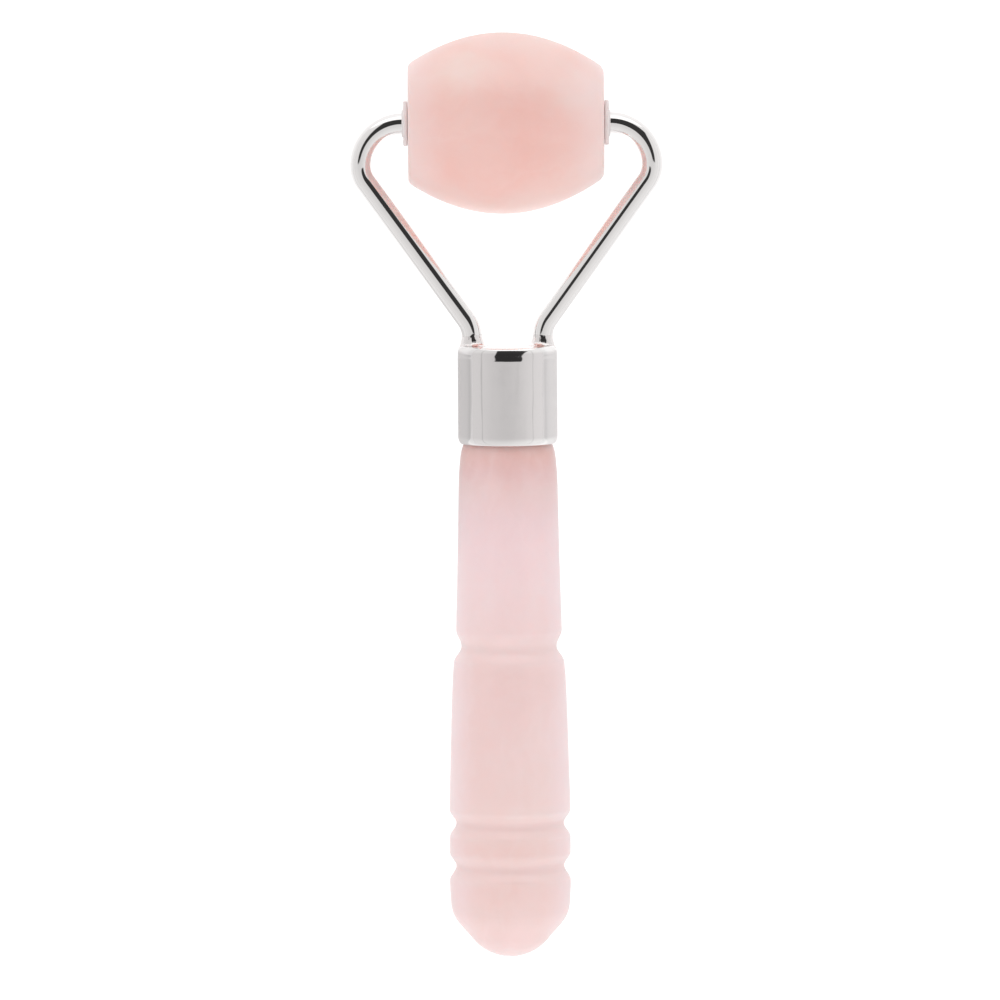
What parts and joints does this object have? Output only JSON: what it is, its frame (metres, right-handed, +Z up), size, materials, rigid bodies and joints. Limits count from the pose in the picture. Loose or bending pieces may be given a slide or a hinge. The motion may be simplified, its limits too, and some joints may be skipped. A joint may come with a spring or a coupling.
{
  "type": "face roller",
  "caption": "Hand-held face roller: a barrel-shaped stone spins between two bent wire arms on a turned stone handle with a plated ferrule.",
  "frame": {"origin": "on the table, below the centre of the tool's box, with the tool lying on its back on the stone barrel and on the bulb at the end of the handle", "axes": "+Y along the handle towards the stone barrel, +X along the barrel's spin axis, +Z up, out of the face of the wire frame"},
  "size_m": [0.0376, 0.1116, 0.0218],
  "materials": {
    "rose_quartz_roller": "polished, cloudy rose quartz",
    "rose_quartz_handle": "polished, pale milky rose quartz",
    "bush_nylon": "natural translucent nylon",
    "chrome_plate": "mirror-polished plating",
    "plated_braze": "plated braze, slightly uneven",
    "cured_epoxy": "clear cured adhesive"
  },
  "bodies": {
    "handle_frame": {"handle_stone": "rose_quartz_handle", "epoxy_bond": "cured_epoxy", "ferrule": "chrome_plate", "frame_arm_left": "chrome_plate", "frame_arm_right": "chrome_plate", "braze_fillet_left": "plated_braze", "braze_fillet_right": "plated_braze"},
    "roller": {"roller_stone": "rose_quartz_roller", "bush_left": "bush_nylon", "bush_right": "bush_nylon"}
  },
  "joints": [
    {"name": "roller_spin", "type": "hinge", "parent": "handle_frame", "child": "roller", "pos_m": [0, 0.04484, 0.01092], "axis": [1, 0, 0], "continuous": true}
  ]
}
